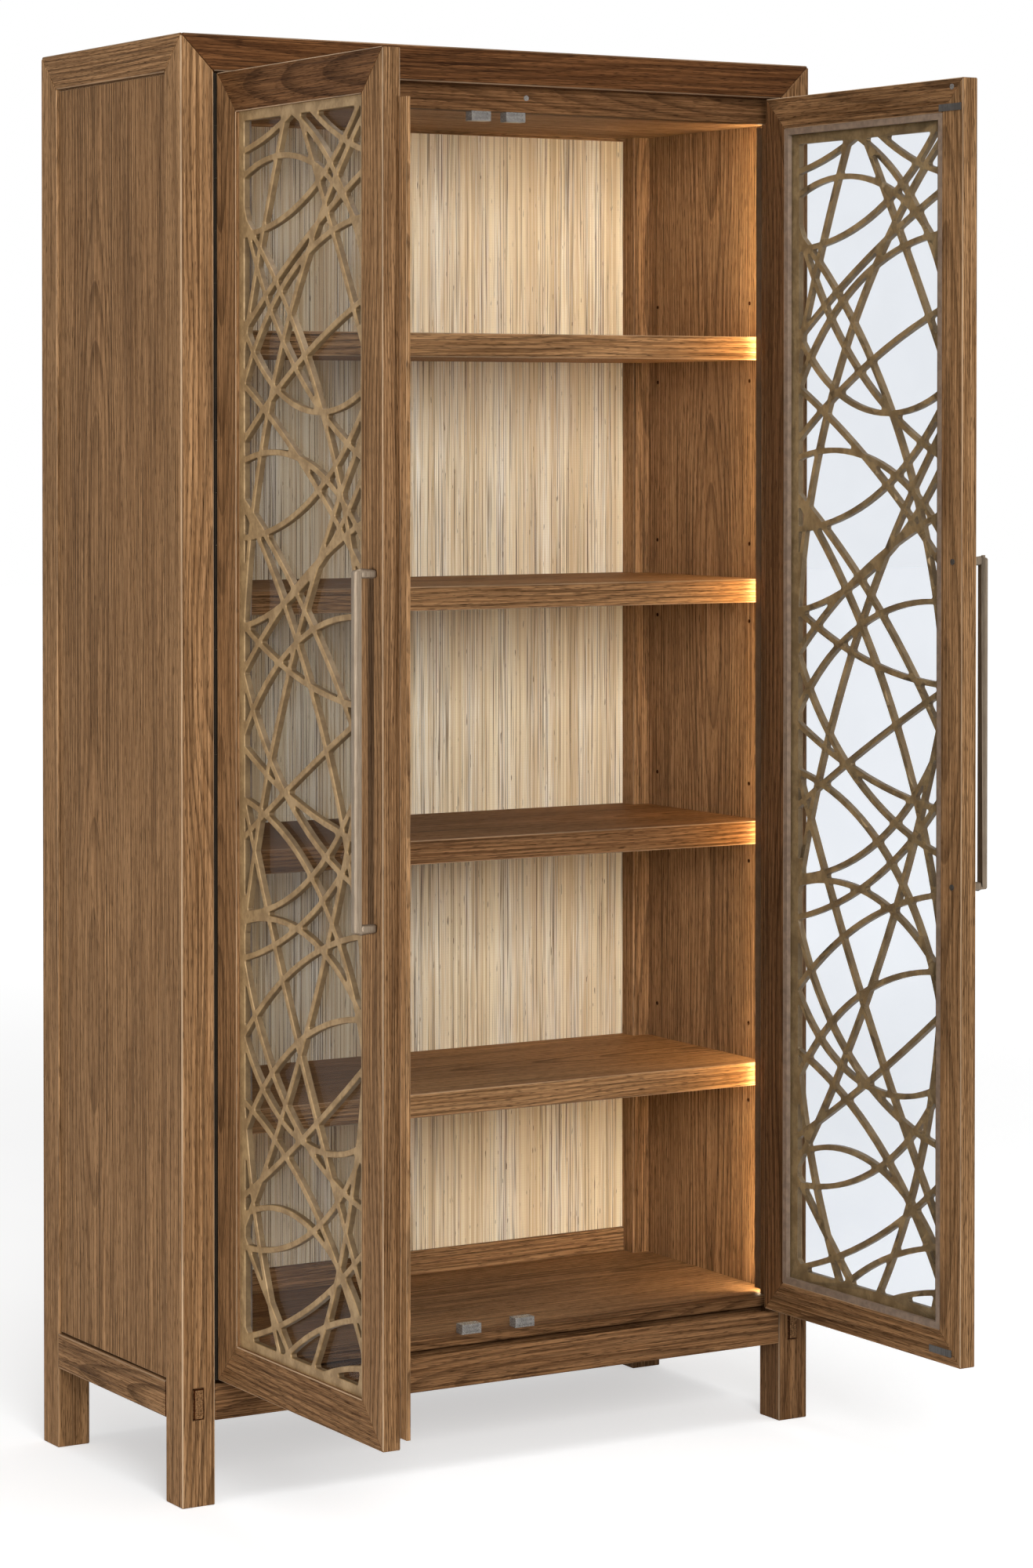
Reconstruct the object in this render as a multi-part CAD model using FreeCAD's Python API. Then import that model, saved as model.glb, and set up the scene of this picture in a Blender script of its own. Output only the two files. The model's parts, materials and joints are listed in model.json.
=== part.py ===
import FreeCAD, Part
import math
import os

from FreeCAD import Vector

# Tall display cabinet with two framed glass doors, both standing open.
# Millimetres, +Z up. The origin is on the floor at the middle of the carcass footprint, the front is -Y.

# Carcass frame
carcass_width = 1051.0
carcass_depth = 453.0
carcass_height = 2032.0
member = 50.8
leg_clear = 117.0
tenon_width = 16.0
tenon_height = 43.0
tenon_clear = 0.3
tenon_proud = 1.5
stub_tenon_length = 12.0
stub_tenon_width = 17.0

# Side panels and top
panel_thickness = 18.0
panel_recess = 4.0
reveal_width = 2.5
reveal_depth = 5.0
top_panel_thickness = 18.0
top_panel_recess = 3.0
ceiling_thickness = 18.0
ceiling_drop = 34.0

# Inside floor
deck_thickness = 16.5
lipping_height = 14.5
# Shadow channel in the top of the bottom front rail, under the doors' foot
channel_lip = 4.0
channel_width = 41.0
channel_depth = 12.0

# Back
back_thickness = 6.0
cloth_thickness = 1.5
back_recess = 12.5
batten_thickness = 11.5
bottom_batten_height = 37.0
top_batten_height = 39.0

# Shelves and their pins
shelf_thickness = 35.0
shelf_lamp_clear = 11.2
shelf_end_clear = 1.0
shelf_back_clear = 1.5
notch_clear = 1.5
lowest_clear = 310.2
highest_clear = 319.7
shelf_count = 4
pin_radius = 3.0
pin_depth = 9.0
pin_reach = 9.0
pin_drop = 7.0
pin_slot_clear = 0.2
front_pin_margin = 48.0
back_pin_margin = 25.2
spare_hole_step = 59.0

# Upright lights
lamp_width = 12.0
lamp_depth = 13.0
lamp_wall = 2.0
diffuser_depth = 3.0
lamp_end_gap = 6.0
driver_length = 140.0
driver_width = 45.0
driver_height = 20.0
gland_radius = 5.0
gland_bore_radius = 3.0
gland_flange_radius = 7.0
gland_flange_thickness = 2.0

# Doors
door_thickness = 26.0
door_gap = 2.0
door_gap_top = 2.8
door_gap_bottom = 6.0
frame_width = 57.0
lip_thickness = 6.0
rebate_width = 10.0
rebate_clear = 1.0
lattice_thickness = 9.0
glass_thickness = 4.0
bead_width = 9.0
open_angle = 90.6

# Lattice
rim_visible = 13.0
bar_width = 8.0
cell_round = 3.0
round_share = 0.9
narrowest_cell = 4.0
branch_pitch = 100.0
branch_jitter = 26.0
family_shift = 31.0
step_phase = 1.7
side_phase = 1.9
bow_phase = 1.3
least_bow = 0.01
# One family of branches each: steps climbed from rim to rim, every how many steps, how strongly bowed
branch_families = ((2, 1, 0.13), (-3, 2, 0.15), (7, 4, 0.10), (-1, 2, 0.20), (-6, 4, 0.10))

# Hinges, one as tall as each door
pivot_forward = 2.0
knuckle_radius = 1.8
knuckle_count = 25
knuckle_gap = 0.3
hinge_pin_radius = 0.8
running_clear = 0.1
leaf_thickness = 0.8
leaf_width = 18.0
leaf_root = 1.2

# Door furniture
handle_length = 467.0
handle_centre_height = 1075.0
handle_projection = 33.0
handle_edge = 20.0
handle_bar_width = 12.0
handle_bar_depth = 10.0
handle_arm_height = 11.0
screw_radius = 2.0
screw_head_radius = 4.0
screw_head_height = 1.8
screw_bite = 12.0
screw_hole_clear = 0.2
stop_clear = 1.5
stop_drop = 36.0
catch_width = 32.0
catch_height = 14.0
catch_depth = 17.0
catch_clear = 0.5
top_catch_offset = 29.0
bottom_catch_offset = 45.0
plate_width = 22.0
plate_slot = 2.5
plate_spacing = 6.5
plate_relief = 1.5
strike_length = 50.0
strike_height = 10.0
strike_thickness = 1.2
bumper_radius = 4.0
bumper_thickness = 1.2
bumper_edge_inset = 24.0
bumper_top_inset = 12.0
stop_bumper_offset = 46.0
astragal_overlap = 15.0
astragal_lap = 15.0
astragal_thickness = 6.5
astragal_relief = 0.6
astragal_top_gap = 64.0
astragal_bottom_gap = 15.0

# Places worked out from the sizes above
half_width = carcass_width / 2
half_depth = carcass_depth / 2
front = -half_depth
rail_bottom = leg_clear
rail_top = leg_clear + member
head = carcass_height - member
opening_half = half_width - member
panel_inner = half_width - panel_recess - panel_thickness
deck_top = rail_top + deck_thickness
back_face = half_depth - back_recess
cloth_front = back_face - back_thickness - cloth_thickness
batten_front = back_face - batten_thickness
ceiling_bottom = head - ceiling_drop
stop_front = front + door_thickness + stop_clear
stop_bottom = head - stop_drop
post_back = front + member
back_post_front = half_depth - member
shelf_front = post_back + lamp_depth + shelf_lamp_clear
lowest_shelf_top = deck_top + lowest_clear + shelf_thickness
highest_shelf_top = ceiling_bottom - highest_clear
shelf_pitch = (highest_shelf_top - lowest_shelf_top) / (shelf_count - 1)
shelf_tops = [lowest_shelf_top + i * shelf_pitch for i in range(shelf_count)]

door_left = -opening_half + door_gap
door_right = -door_gap / 2
door_bottom = rail_top + door_gap_bottom
door_top = head - door_gap_top
door_inner = front + door_thickness
lattice_front = front + lip_thickness
glass_front = lattice_front + lattice_thickness
bead_front = glass_front + glass_thickness
pivot = Vector(-opening_half + door_gap / 2, front - pivot_forward, 0)
handle_x = door_right - handle_edge
up = Vector(0, 0, 1)
backward = Vector(0, 1, 0)
pieces = {}


def block(x0, x1, y0, y1, z0, z1):
    """Box between two values on each axis, in either order."""
    low = Vector(min(x0, x1), min(y0, y1), min(z0, z1))
    return Part.makeBox(abs(x1 - x0), abs(y1 - y0), abs(z1 - z0), low)


def prism(points, direction):
    """Solid made by pushing a closed outline along a direction."""
    return Part.Face(Part.makePolygon(points + points[:1])).extrude(direction)


def group(solids):
    """Several separate solids kept as one node."""
    return Part.Compound(solids)


def corner_point(side, end, a, b, c):
    """Point in a top corner: a in from the side face, b in from the front or back, c down."""
    return Vector(side * (half_width - a), end * (half_depth - b), carcass_height - c)


def corner_wedge(side, end, keep, drop):
    """Half of a top corner cube where the distance along keep is less than along drop."""
    third = 3 - keep - drop
    outline = []
    for along, across in ((0, 0), (0, member), (member, member)):
        local = [0.0, 0.0, 0.0]
        local[keep] = along
        local[drop] = across
        outline.append(corner_point(side, end, *local))
    span = [0.0, 0.0, 0.0]
    span[third] = member
    return prism(outline, corner_point(side, end, *span) - corner_point(side, end, 0, 0, 0))


def mitred(solid, side, end, own):
    """Cut one end of a frame member for the three-way mitre; own is its long axis."""
    for other in range(3):
        if other != own:
            solid = solid.cut(corner_wedge(side, end, own, other))
    return solid


def tenon_span(side):
    """X range of the through tenon on one side."""
    centre = side * (half_width - member / 2)
    return centre - tenon_width / 2, centre + tenon_width / 2


def tenon_levels():
    """Z range of the tenons of the bottom rails."""
    centre = (rail_bottom + rail_top) / 2
    return centre - tenon_height / 2, centre + tenon_height / 2


def build_posts():
    """Four posts with mitred heads and the mortises for both kinds of bottom rail."""
    z0, z1 = tenon_levels()
    for end, end_name in ((-1, "front"), (1, "back")):
        for side, side_name in ((-1, "left"), (1, "right")):
            x0, x1 = side * (half_width - member), side * half_width
            y0, y1 = end * (half_depth - member), end * half_depth
            post = mitred(block(x0, x1, y0, y1, 0, carcass_height), side, end, 2)
            t0, t1 = tenon_span(side)
            mortise = block(t0 - tenon_clear, t1 + tenon_clear, y0, y1, z0 - tenon_clear, z1 + tenon_clear)
            middle = end * (half_depth - member / 2)
            stub = block(x0, x0 + side * stub_tenon_length, middle - stub_tenon_width / 2,
                         middle + stub_tenon_width / 2, z0, z1)
            pieces[f"{end_name}_{side_name}_post"] = post.cut(mortise).cut(stub)


def build_rails():
    """Top rails with three-way mitres, bottom rails with their tenons and the front one's channel."""
    z0, z1 = tenon_levels()
    for end, name in ((-1, "front"), (1, "back")):
        y0, y1 = end * (half_depth - member), end * half_depth
        top = block(-half_width, half_width, y0, y1, head, carcass_height)
        for side in (-1, 1):
            top = mitred(top, side, end, 0)
        pieces[f"top_{name}_rail"] = top
        bottom = block(-opening_half, opening_half, y0, y1, rail_bottom, rail_top)
        middle = end * (half_depth - member / 2)
        reach = opening_half + stub_tenon_length
        stub = block(-reach, reach, middle - stub_tenon_width / 2, middle + stub_tenon_width / 2, z0, z1)
        pieces[f"bottom_{name}_rail"] = bottom.fuse(stub).removeSplitter()
    channel_front = front + channel_lip
    channel = block(-opening_half, opening_half, channel_front, channel_front + channel_width,
                    rail_top - channel_depth, rail_top)
    pieces["bottom_front_rail"] = pieces["bottom_front_rail"].cut(channel)
    for side, name in ((-1, "left"), (1, "right")):
        x0, x1 = side * opening_half, side * half_width
        top = block(x0, x1, -half_depth, half_depth, head, carcass_height)
        for end in (-1, 1):
            top = mitred(top, side, end, 1)
        pieces[f"top_{name}_rail"] = top
        t0, t1 = tenon_span(side)
        bottom = block(x0, x1, post_back, back_post_front, rail_bottom, rail_top)
        through = block(t0, t1, front - tenon_proud, half_depth, z0, z1)
        pieces[f"bottom_{name}_rail"] = bottom.fuse(through).removeSplitter()


def pin_levels():
    """Height of the working pin of each shelf."""
    return [top - pin_drop for top in shelf_tops]


def pin_setbacks():
    """Y of the two pin columns."""
    return [shelf_front + front_pin_margin, back_post_front - back_pin_margin]


def build_side_panels():
    """Side panels with a narrow shadow rebate round the outside and rows of pin holes inside."""
    for side, name in ((-1, "left"), (1, "right")):
        outer = side * (half_width - panel_recess)
        inner = side * panel_inner
        panel = block(outer, inner, post_back, back_post_front, rail_top, head)
        step = outer - side * reveal_depth
        skin = block(outer, step, post_back, back_post_front, rail_top, head)
        field = block(outer, step, post_back + reveal_width, back_post_front - reveal_width,
                      rail_top + reveal_width, head - reveal_width)
        panel = panel.cut(skin.cut(field))
        for y in pin_setbacks():
            for level in pin_levels():
                for shift in (-spare_hole_step, 0, spare_hole_step):
                    mouth = Vector(inner, y, level + shift)
                    hole = Part.makeCylinder(pin_radius, pin_depth, mouth, Vector(side, 0, 0))
                    panel = panel.cut(hole)
        pieces[f"{name}_side_panel"] = panel


def notched(board, z0, z1, clear):
    """Cut a board round the two back posts."""
    for side in (-1, 1):
        board = board.cut(block(side * (opening_half - clear), side * half_width,
                                back_post_front - clear, half_depth, z0, z1))
    return board


def build_floor_and_top():
    """Deck with its lipping, ceiling board and top panel."""
    deck = block(-panel_inner, panel_inner, post_back, back_face, rail_top, deck_top)
    pieces["deck_board"] = notched(deck, rail_top, deck_top, 0)
    pieces["deck_lipping"] = block(-opening_half, opening_half, stop_front, post_back,
                                   deck_top - lipping_height, deck_top)
    ceiling_top = ceiling_bottom + ceiling_thickness
    ceiling = block(-panel_inner, panel_inner, post_back, batten_front, ceiling_bottom, ceiling_top)
    pieces["ceiling_board"] = notched(ceiling, ceiling_bottom, ceiling_top, 0)
    top_face = carcass_height - top_panel_recess
    pieces["top_panel"] = block(-opening_half, opening_half, post_back, back_post_front,
                                top_face - top_panel_thickness, top_face)
    driver_y = (post_back + batten_front) / 2
    pieces["lamp_driver"] = block(-driver_length / 2, driver_length / 2, driver_y - driver_width / 2,
                                  driver_y + driver_width / 2, ceiling_top, ceiling_top + driver_height)


def build_back():
    """Back board between two battens, its grasscloth covering and the lead's gland."""
    low = deck_top + bottom_batten_height
    high = head - top_batten_height
    pieces["back_bottom_batten"] = block(-opening_half, opening_half, batten_front, back_face, deck_top, low)
    board_front = back_face - back_thickness
    pieces["back_board"] = block(-opening_half, opening_half, board_front, back_face, low, high)
    pieces["grasscloth"] = block(-opening_half, opening_half, cloth_front, board_front, low, high)
    gland_z = (ceiling_bottom + ceiling_thickness + head) / 2
    centre = Vector(0, batten_front, gland_z)
    batten = block(-opening_half, opening_half, batten_front, back_face, high, head)
    pieces["back_top_batten"] = batten.cut(Part.makeCylinder(gland_radius, batten_thickness, centre, backward))
    sleeve = Part.makeCylinder(gland_radius, batten_thickness, centre, backward)
    mouth = centre + backward * batten_thickness
    flange = Part.makeCylinder(gland_flange_radius, gland_flange_thickness, mouth, backward)
    bore = Part.makeCylinder(gland_bore_radius, batten_thickness + gland_flange_thickness, centre, backward)
    pieces["cord_gland"] = sleeve.fuse(flange).cut(bore).removeSplitter()


def build_shelves():
    """Notched shelves that drop over their pins, and the pins."""
    end = panel_inner - shelf_end_clear
    pins = []
    for number, (top, level) in enumerate(zip(shelf_tops, pin_levels()), start=1):
        under = top - shelf_thickness
        shelf = block(-end, end, shelf_front, cloth_front - shelf_back_clear, under, top)
        shelf = notched(shelf, under, top, notch_clear)
        half_slot = pin_radius + pin_slot_clear
        slot_end = panel_inner - pin_reach - pin_slot_clear
        for side in (-1, 1):
            for y in pin_setbacks():
                shelf = shelf.cut(block(side * slot_end, side * end, y - half_slot, y + half_slot,
                                        under, level + pin_radius))
                foot = Vector(side * (panel_inner + pin_depth), y, level)
                pins.append(Part.makeCylinder(pin_radius, pin_depth + pin_reach, foot, Vector(-side, 0, 0)))
        pieces[f"shelf_{number}"] = shelf
    pieces["shelf_pins"] = group(pins)


def build_lamps():
    """Light channels on the hidden back faces of the front posts, each with its diffuser."""
    channels = []
    diffusers = []
    z0 = deck_top + lamp_end_gap
    z1 = ceiling_bottom - lamp_end_gap
    for side in (-1, 1):
        x0 = side * opening_half
        x1 = side * (opening_half + lamp_width)
        mouth = post_back + lamp_depth
        inside = (x0 + side * lamp_wall, x1 - side * lamp_wall)
        channel = block(x0, x1, post_back, mouth, z0, z1)
        channels.append(channel.cut(block(*inside, post_back + lamp_wall, mouth, z0, z1)))
        diffusers.append(block(*inside, mouth - diffuser_depth, mouth, z0, z1))
    pieces["lamp_channels"] = group(channels)
    pieces["lamp_diffusers"] = group(diffusers)


def catch_front():
    """Y of the catches' faces, just behind the strikes of a closed door."""
    return door_inner + strike_thickness + catch_clear


def catch(x, z0):
    """Catch housing with the slots of its two magnet plates in the front face."""
    y0 = catch_front()
    housing = block(x - catch_width / 2, x + catch_width / 2, y0, y0 + catch_depth, z0, z0 + catch_height)
    for shift in (-plate_spacing / 2, plate_spacing / 2):
        middle = z0 + catch_height / 2 + shift
        housing = housing.cut(block(x - plate_width / 2, x + plate_width / 2, y0, y0 + plate_relief,
                                    middle - plate_slot / 2, middle + plate_slot / 2))
    return housing


def top_catch_base():
    """Lower face of the catches under the stop rail."""
    return stop_bottom - catch_height


def build_stops():
    """Stop rail over the doors, magnetic catches and the one clear bumper on the rail."""
    pieces["door_stop_rail"] = block(-opening_half, opening_half, stop_front, post_back, stop_bottom, head)
    catches = []
    for side in (-1, 1):
        catches.append(catch(side * top_catch_offset, top_catch_base()))
        catches.append(catch(side * bottom_catch_offset, deck_top))
    pieces["magnetic_catches"] = group(catches)
    dot = Vector(stop_bumper_offset, stop_front, door_top - bumper_top_inset)
    pieces["stop_bumper"] = Part.makeCylinder(bumper_radius, bumper_thickness, dot, -backward)


def hinge_half(x0, first):
    """Leaf of the left hinge from x0 on, with every second knuckle from the first and their bore."""
    shape = block(x0, x0 + leaf_thickness, pivot.y + knuckle_radius + running_clear, front + leaf_width,
                  door_bottom, door_top)
    pitch = (door_top - door_bottom) / knuckle_count
    additions = []
    for number in range(first, knuckle_count, 2):
        low = door_bottom + number * pitch + knuckle_gap / 2
        high = low + pitch - knuckle_gap
        additions.append(Part.makeCylinder(knuckle_radius, high - low, Vector(pivot.x, pivot.y, low)))
        additions.append(block(x0, x0 + leaf_thickness, pivot.y + leaf_root, front + leaf_width, low, high))
    bore = Part.makeCylinder(hinge_pin_radius + running_clear, door_top - door_bottom,
                             Vector(pivot.x, pivot.y, door_bottom))
    return shape.fuse(additions).removeSplitter().cut(bore)


def mirrored(shape):
    """The same piece on the right-hand side."""
    return shape.mirror(Vector(0, 0, 0), Vector(1, 0, 0))


def build_hinges():
    """Fixed leaves on the front posts, with the pins."""
    leaf = hinge_half(-opening_half, 0)
    pin = Part.makeCylinder(hinge_pin_radius, door_top - door_bottom, Vector(pivot.x, pivot.y, door_bottom))
    pieces["hinge_frame_leaves"] = group([leaf, mirrored(leaf), pin, mirrored(pin)])


def window(inset):
    """Corners of the door's frame opening, moved inwards by inset (outwards where negative)."""
    edge = frame_width + inset
    return door_left + edge, door_right - edge, door_bottom + edge, door_top - edge


def pane(inset, y0, y1):
    """Flat plate that fills the window."""
    x0, x1, z0, z1 = window(inset)
    return block(x0, x1, y0, y1, z0, z1)


def door_frame():
    """The four mitred and rebated members of the left door, closed."""
    ring = block(door_left, door_right, front, door_inner, door_bottom, door_top)
    ring = ring.cut(pane(0, front, door_inner))
    ring = ring.cut(pane(-rebate_width, lattice_front, door_inner))
    x0, x1, z0, z1 = window(0)
    outer = [(door_left, door_bottom), (door_right, door_bottom), (door_right, door_top), (door_left, door_top)]
    inner = [(x0, z0), (x1, z0), (x1, z1), (x0, z1)]
    members = {}
    for i, name in enumerate(("bottom_rail", "meeting_stile", "top_rail", "hinge_stile")):
        j = (i + 1) % 4
        outline = [Vector(x, front, z) for x, z in (outer[i], outer[j], inner[j], inner[i])]
        members[name] = ring.common(prism(outline, backward * door_thickness))
    return members


def bar_face(start, middle, end):
    """Flat curved bar through three points."""
    circle = Part.Arc(start, middle, end).toShape().Curve
    centre = circle.Center
    curves = []
    for shift in (-bar_width / 2, bar_width / 2):
        scale = (circle.Radius + shift) / circle.Radius
        a, b, c = [centre + (p - centre) * scale for p in (start, middle, end)]
        curves.append((Part.Arc(a, b, c).toShape(), a, c))
    (inner, a0, c0), (outer, a1, c1) = curves
    outline = [inner, Part.makeLine(c0, c1), outer, Part.makeLine(a1, a0)]
    return Part.Face(Part.Wire(Part.__sortEdges__(outline)))


def rim_level(family, step, side):
    """Uneven height, above the window's foot, of one branch end on the left (0) or right (1) rim."""
    sway = math.sin(step_phase * step + side_phase * side + family)
    return branch_pitch * step + family_shift * family + branch_jitter * sway


def lattice_bars(x0, x1, z0, z1):
    """Long curved branches that cross from rim to rim, as flat faces."""
    steps = math.ceil((z1 - z0) / branch_pitch)
    faces = []
    for family, (rise, every, bow) in enumerate(branch_families):
        for step in range(-abs(rise), steps + abs(rise), every):
            start = Vector(x0 - bar_width, lattice_front, z0 + rim_level(family, step, 0))
            end = Vector(x1 + bar_width, lattice_front, z0 + rim_level(family, step + rise, 1))
            sway = math.cos(bow_phase * step + rise)
            bend = math.copysign(max(bow * abs(sway), least_bow), sway)
            middle = (start + end) / 2 + (end - start).cross(backward) * bend
            faces.append(bar_face(start, middle, end))
    return faces


def rounded(cell):
    """A cell of the lattice with round corners, less round where the cell is narrow."""
    radius = min(cell_round, round_share * cell.Area / cell.Length)
    return cell.makeOffset2D(-radius).makeOffset2D(radius)


def lattice():
    """Cut-out panel: a rim and curved crossing bars, with rounded corners in every cell."""
    hidden = rebate_width - rebate_clear
    x0, x1, z0, z1 = window(-hidden)
    i0, i1, j0, j1 = window(rim_visible)
    corners = [Vector(x, lattice_front, z) for x, z in ((x0, z0), (x1, z0), (x1, z1), (x0, z1), (x0, z0))]
    inner = [Vector(x, lattice_front, z) for x, z in ((i0, j0), (i1, j0), (i1, j1), (i0, j1), (i0, j0))]
    plate = Part.Face(Part.makePolygon(corners))
    cells = []
    for cell in Part.Face(Part.makePolygon(inner)).cut(lattice_bars(i0, i1, j0, j1)).Faces:
        if 2 * cell.Area / cell.Length > narrowest_cell:
            cells.append(rounded(cell))
    return plate.cut(cells).Faces[0].extrude(backward * lattice_thickness)


def glass_beads():
    """Four strips that hold the glass against the lattice."""
    x0, x1, z0, z1 = window(-rebate_width)
    strips = []
    for side, edge in ((1, x0), (-1, x1)):
        strips.append(block(edge, edge + side * bead_width, bead_front, door_inner,
                            z0 + bead_width, z1 - bead_width))
    for side, edge in ((1, z0), (-1, z1)):
        strips.append(block(x0, x1, bead_front, door_inner, edge, edge + side * bead_width))
    return group(strips)


def handle_levels():
    """Heights of the two handle arms' middles."""
    reach = (handle_length - handle_arm_height) / 2
    return handle_centre_height - reach, handle_centre_height + reach


def handle_parts():
    """Handle (bar and two arms), its screws, and the holes that the screws need in the stile."""
    half = handle_bar_width / 2
    bar_back = front - handle_projection + handle_bar_depth
    bar = block(handle_x - half, handle_x + half, front - handle_projection, bar_back,
                handle_centre_height - handle_length / 2, handle_centre_height + handle_length / 2)
    solids = [bar]
    screws = []
    holes = []
    for level in handle_levels():
        arm = block(handle_x - half, handle_x + half, bar_back, front,
                    level - handle_arm_height / 2, level + handle_arm_height / 2)
        tip = Vector(handle_x, front - screw_bite, level)
        length = screw_bite + door_thickness
        hole = Part.makeCylinder(screw_radius + screw_hole_clear, length, tip, backward)
        solids.append(arm.cut(hole))
        holes.append(hole)
        shank = Part.makeCylinder(screw_radius, length, tip, backward)
        head_base = Vector(handle_x, door_inner, level)
        screws.append(shank.fuse(Part.makeCylinder(screw_head_radius, screw_head_height, head_base, backward))
                      .removeSplitter())
    return group(solids), group(screws), holes


def strikes():
    """Steel plates that meet the catches when the door is closed."""
    plates = []
    for offset, base in ((top_catch_offset, top_catch_base()), (bottom_catch_offset, deck_top)):
        middle = base + catch_height / 2
        plates.append(block(-offset - strike_length / 2, -offset + strike_length / 2,
                            door_inner, door_inner + strike_thickness,
                            middle - strike_height / 2, middle + strike_height / 2))
    return group(plates)


def astragal():
    """Strip on the left door that covers the gap between the doors."""
    z0 = door_bottom + astragal_bottom_gap
    z1 = door_top - astragal_top_gap
    strip = block(door_right - astragal_lap, door_right + astragal_overlap, door_inner,
                  door_inner + astragal_thickness, z0, z1)
    relief = block(door_right, door_right + astragal_overlap, door_inner, door_inner + astragal_relief, z0, z1)
    return strip.cut(relief)


def door_pieces():
    """Every piece of the left door in its closed place."""
    parts = door_frame()
    handle, screws, holes = handle_parts()
    parts["meeting_stile"] = parts["meeting_stile"].cut(holes)
    parts["lattice"] = lattice()
    parts["glass"] = pane(rebate_clear - rebate_width, glass_front, bead_front)
    parts["glass_beads"] = glass_beads()
    parts["handle"] = handle
    parts["handle_screws"] = screws
    parts["strikes"] = strikes()
    parts["hinge_leaf"] = hinge_half(door_left - leaf_thickness, 1)
    parts["bumper"] = Part.makeCylinder(bumper_radius, bumper_thickness,
                                        Vector(door_right - bumper_edge_inset, door_inner,
                                               door_top - bumper_top_inset), backward)
    return parts


def hang(shape, side):
    """Swing a door piece from closed to the open place it stands in."""
    swung = shape.copy() if side < 0 else mirrored(shape)
    swung.rotate(Vector(-side * pivot.x, pivot.y, 0), up, side * open_angle)
    return swung


def build_doors():
    """Both doors, alike but for the astragal."""
    parts = door_pieces()
    for side, name in ((-1, "left"), (1, "right")):
        for part, shape in parts.items():
            pieces[f"{name}_door_{part}"] = hang(shape, side)
    pieces["left_door_astragal"] = hang(astragal(), -1)


def main():
    """Build every piece and write one file for each."""
    build_posts()
    build_rails()
    build_side_panels()
    build_floor_and_top()
    build_back()
    build_shelves()
    build_lamps()
    build_stops()
    build_hinges()
    build_doors()
    os.makedirs("parts", exist_ok=True)
    for name, shape in pieces.items():
        shape.exportStep(f"parts/{name}.step")


main()
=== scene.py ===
"""Looks of a tall oak display cabinet with two latticed glass doors, both standing open."""

import json
import logging
import math
import random
from dataclasses import dataclass
from enum import Enum

import bmesh
import bpy
from mathutils import Euler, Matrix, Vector, noise


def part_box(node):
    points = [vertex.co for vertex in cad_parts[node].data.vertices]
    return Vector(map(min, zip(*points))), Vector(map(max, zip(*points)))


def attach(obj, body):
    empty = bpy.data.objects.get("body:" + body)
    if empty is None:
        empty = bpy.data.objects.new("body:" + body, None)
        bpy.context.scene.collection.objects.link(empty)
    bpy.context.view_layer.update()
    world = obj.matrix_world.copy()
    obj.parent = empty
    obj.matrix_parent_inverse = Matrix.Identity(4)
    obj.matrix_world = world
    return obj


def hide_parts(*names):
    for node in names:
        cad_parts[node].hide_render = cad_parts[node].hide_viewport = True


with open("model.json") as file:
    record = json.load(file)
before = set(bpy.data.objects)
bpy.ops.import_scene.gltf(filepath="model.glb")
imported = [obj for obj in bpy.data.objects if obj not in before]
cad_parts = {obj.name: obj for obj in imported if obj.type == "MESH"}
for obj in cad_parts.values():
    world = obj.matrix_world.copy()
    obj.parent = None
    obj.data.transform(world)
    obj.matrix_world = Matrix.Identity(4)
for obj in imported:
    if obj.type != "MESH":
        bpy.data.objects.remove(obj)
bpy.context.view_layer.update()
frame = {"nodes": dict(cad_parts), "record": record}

log = logging.getLogger("cabinet")
Colour = tuple[float, float, float, float]


class Grain(Enum):
    """Which way the fibres of a board run, as the axes along, across and through it."""

    UPRIGHT = ((0, 0, 1), (1, 0, 0), (0, 1, 0))
    UPRIGHT_SIDE = ((0, 0, 1), (0, 1, 0), (1, 0, 0))
    SIDEWAYS = ((1, 0, 0), (0, 0, 1), (0, 1, 0))
    SIDEWAYS_FLAT = ((1, 0, 0), (0, 1, 0), (0, 0, 1))
    FORWARD = ((0, 1, 0), (0, 0, 1), (1, 0, 0))


class Side(Enum):
    """The two sides of the cabinet, with the way from the middle to each."""

    LEFT = ("left", -1)
    RIGHT = ("right", 1)

    @property
    def word(self) -> str:
        """Name used in piece names."""
        return self.value[0]

    @property
    def way(self) -> int:
        """-1 to the left, 1 to the right."""
        return self.value[1]


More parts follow.
